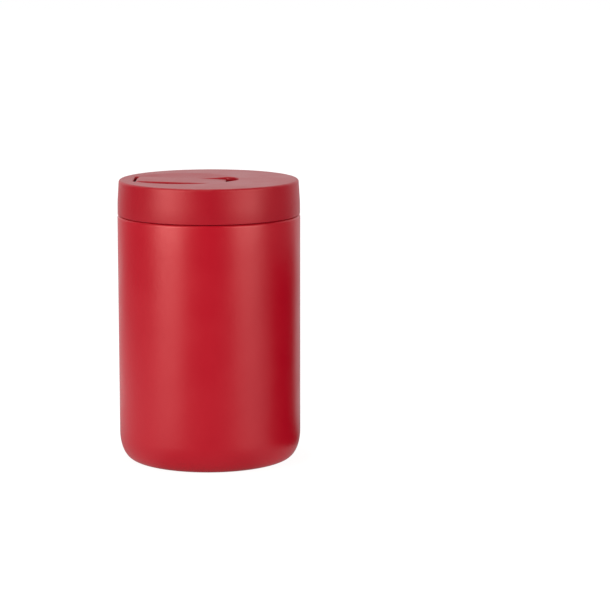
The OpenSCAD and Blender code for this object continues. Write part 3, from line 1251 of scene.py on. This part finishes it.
@dataclass
class Viewpoint:
    """The camera, at the angle from which the canister is seen."""

    place: tuple = (57.0, -1450.8, 336.1)
    pitch: float = 80.4
    lens: float = 143.25
    sensor: float = 36.0
    shift: tuple = (0.0023, 0.0055)
    clip: tuple = (0.05, 50.0)

    def build(self) -> None:
        """Makes the camera and gives it to the scene."""
        data = bpy.data.cameras.new("viewpoint")
        data.lens, data.sensor_width = self.lens, self.sensor
        data.shift_x, data.shift_y = self.shift
        data.clip_start, data.clip_end = self.clip
        camera = new_object("viewpoint", data)
        camera.location = [MM * value for value in self.place]
        camera.rotation_euler = (math.radians(self.pitch), 0.0, 0.0)
        bpy.context.scene.camera = camera


@dataclass
class Softbox:
    """One soft rectangular lamp that faces the canister, with its sizes in metres."""

    name: str
    azimuth: float
    elevation: float
    distance: float
    size: tuple
    power: float
    tint: tuple = (1.0, 0.985, 0.86)
    target: tuple = (0.0, 0.0, 0.08)

    def build(self) -> None:
        """Places the lamp on a sphere about its target and turns it to face it."""
        data = bpy.data.lights.new(self.name, "AREA")
        data.shape, data.size, data.size_y = "RECTANGLE", *self.size
        data.energy, data.color = self.power, self.tint
        lamp = new_object(self.name, data)
        turn, lift = math.radians(self.azimuth), math.radians(self.elevation)
        level = np.array([math.sin(turn), -math.cos(turn)]) * math.cos(lift)
        lamp.location = np.array(self.target) + np.array([*level, math.sin(lift)]) * self.distance
        lamp.rotation_euler = (math.pi / 2 - lift, 0.0, turn)


@dataclass
class Studio:
    """A white sweep that fades towards the camera, three softboxes and a dark flag.

    The floor's and the room's sizes are in metres, and the flag's in millimetres.
    """

    floor_r: float = 6.0
    floor_z: float = -0.0002
    floor_sides: int = 96
    floor_grey: float = 0.9
    floor_fill: float = 0.7
    floor_lift: tuple = (1.72, 1.1)
    floor_glow: tuple = (0.78, 0.18)
    fade_r: tuple = (0.15, 0.7)
    fade_back: tuple = (0.5, 0.9)
    near_glow: float = 0.66
    near_r: tuple = (0.05, 0.2)
    front_glow: float = 0.37
    front_y: tuple = (-0.2, 0.2)
    side_glow: float = 0.85
    side_x: tuple = (0.35, 0.75)
    shadow_share: float = 0.15
    shadow_r: tuple = (0.058, 0.08)
    room_fill: float = 0.85
    room_dim: float = 0.05
    room_rise: float = 0.4
    room_fade: tuple = (0.3, 0.9)
    flag_x: float = 132.0
    flag_r: float = 48.0
    flag_flare: float = 1.35
    flag_z: tuple = (1.0, 1.0, 117.0)
    flag_turn: tuple = (40.0, 320.0)
    flag_color: tuple = (0.05, 0.004, 0.005, 1.0)
    softboxes: tuple = (
        Softbox("key_softbox", -48.0, 15.5, 1.3, (0.8, 1.0), 15.4),
        Softbox("fill_softbox", 50.0, 17.0, 1.3, (0.8, 1.0), 11.2),
        Softbox("top_softbox", -70.0, 72.0, 0.9, (0.7, 0.7), 1.7),
    )

    @staticmethod
    def seen(sheet: Sheet, glow: Socket) -> tuple:
        """What the room's rays are shown of the white sweep.

        Args:
            sheet: The sheet of the floor or the world.
            glow: Brightness of the sweep at each place.

        Returns:
            The mask of camera, glossy and transmitted rays, and the brightness that rays are shown,
            which is plain white for the camera.
        """
        path = sheet.add("LightPath")
        mirrored = sheet.math("MAXIMUM", path["Is Glossy Ray"], path["Is Transmission Ray"])
        mask = sheet.math("MAXIMUM", path["Is Camera Ray"], mirrored)
        return mask, sheet.math("MAXIMUM", path["Is Camera Ray"], glow)

    def glow(self, sheet: Sheet, place: Socket, length: Socket) -> Socket:
        """The floor's brightness away from the camera: even behind, and fading outwards in front.

        Args:
            sheet: The floor's sheet.
            place: Object coordinates.
            length: Distance from the origin.

        Returns:
            The brightness, which is lower straight in front of the canister, and lower close to it as a
            painted shadow of the canister.
        """
        parts = sheet.add("SeparateXYZ", {0: place})
        here, away = self.floor_glow
        behind = sheet.math("DIVIDE", parts["Y"], length)
        fade = sheet.span(behind, self.fade_back, (away - here, 0.0))
        ring = sheet.math("ADD", sheet.times(sheet.span(length, self.fade_r), fade), here)
        # Painted shadow: the glow is dimmed close to the canister, where its shade would fall on the floor
        ring = sheet.times(ring, sheet.span(length, self.near_r, (self.near_glow, 1.0)))
        aside = sheet.math("DIVIDE", sheet.math("ABSOLUTE", parts["X"]), length)
        front = sheet.math("MAXIMUM", sheet.span(parts["Y"], self.front_y, (self.front_glow, 1.0)),
                           sheet.span(aside, self.side_x, (self.front_glow, self.side_glow)))
        return sheet.times(front, ring)

    def floor(self) -> None:
        """The floor: a disc that shows white, less the share that shadows take at the canister's foot."""
        disc = arc((0, 0), (self.floor_r, self.floor_r), 0, 360, self.floor_sides)[:-1]
        data = bpy.data.meshes.new("studio_floor")
        data.from_pydata(raised(disc, self.floor_z).tolist(), [], [list(range(self.floor_sides))])
        made = bpy.data.materials.new("studio_white")
        sheet = Sheet.emptied(made)
        place = sheet.add("TexCoord")["Object"]
        length = sheet.add("VectorMath", {0: place}, operation="LENGTH")["Value"]
        mask, shown = self.seen(sheet, self.glow(sheet, place, length))
        solid = sheet.span(length, self.shadow_r, (1 - self.shadow_share, 1.0))
        share = sheet.times(solid, sheet.span(mask, (0.0, 1.0), (self.floor_fill, 1.0)))
        strength = sheet.times(shown, sheet.span(mask, (0.0, 1.0), self.floor_lift))
        matte = sheet.add("BsdfDiffuse", {"Color": (*[self.floor_grey] * 3, 1.0)})[0]
        white = sheet.add("Emission", {"Strength": strength})[0]
        sheet.surface("Material", sheet.add("MixShader", {0: share, 1: matte, 2: white})[0])
        data.materials.append(made)
        new_object("studio_floor", data)

    def room(self) -> None:
        """The room: white to the camera, and a sweep that fades from the back to the front."""
        world = bpy.data.worlds.new("studio_room")
        bpy.context.scene.world = world
        sheet = Sheet.emptied(world)
        parts = sheet.add("SeparateXYZ", {0: sheet.add("TexCoord")["Generated"]})
        depth = sheet.math("ADD", parts["Y"], sheet.times(parts["Z"], self.room_rise))
        mask, shown = self.seen(sheet, sheet.span(depth, self.room_fade, (self.room_dim, 1.0)))
        strength = sheet.blend(mask, sheet.times(shown, self.room_fill), shown)
        white = {"Color": (1.0, 1.0, 1.0, 1.0), "Strength": strength}
        sheet.surface("World", sheet.add("Background", white)[0])

    def flag(self) -> None:
        """A dark bent card at the canister's side, which only its sheen and bounce light see."""
        bend = arc((0, 0), (self.flag_r, self.flag_r), *self.flag_turn, steps=56)
        rings = bend[:, None] * np.array([self.flag_flare, 1.0, 1.0])[:, None] + [self.flag_x, 0.0]
        card = Surface.grid(raised(rings, np.array(self.flag_z)), False, False).piece("studio_flag")
        made = bpy.data.materials.new("studio_dark")
        sheet = Sheet.emptied(made)
        dark = {"Base Color": self.flag_color, "Specular IOR Level": 0.0}
        sheet.surface("Material", sheet.add("BsdfPrincipled", dark)[0])
        card.data.materials.append(made)
        card.visible_camera = card.visible_shadow = False

    def build(self) -> None:
        """Builds the floor, the room, the flag and the lamps, and sets the plain view transform."""
        self.floor()
        self.room()
        self.flag()
        for softbox in self.softboxes:
            softbox.build()
        bpy.context.scene.view_settings.view_transform = "Standard"


def main() -> None:
    """Builds the stage and then each sub-assembly in order."""
    logging.basicConfig(level=logging.INFO, format="%(name)s: %(message)s")
    Viewpoint().build()
    Studio().build()
    effects = Effects()
    for assembly in (Canister(), Lid(), Plug(), HingeRod(), PourSpout()):
        assembly.build(effects)


if __name__ == "__main__":
    main()
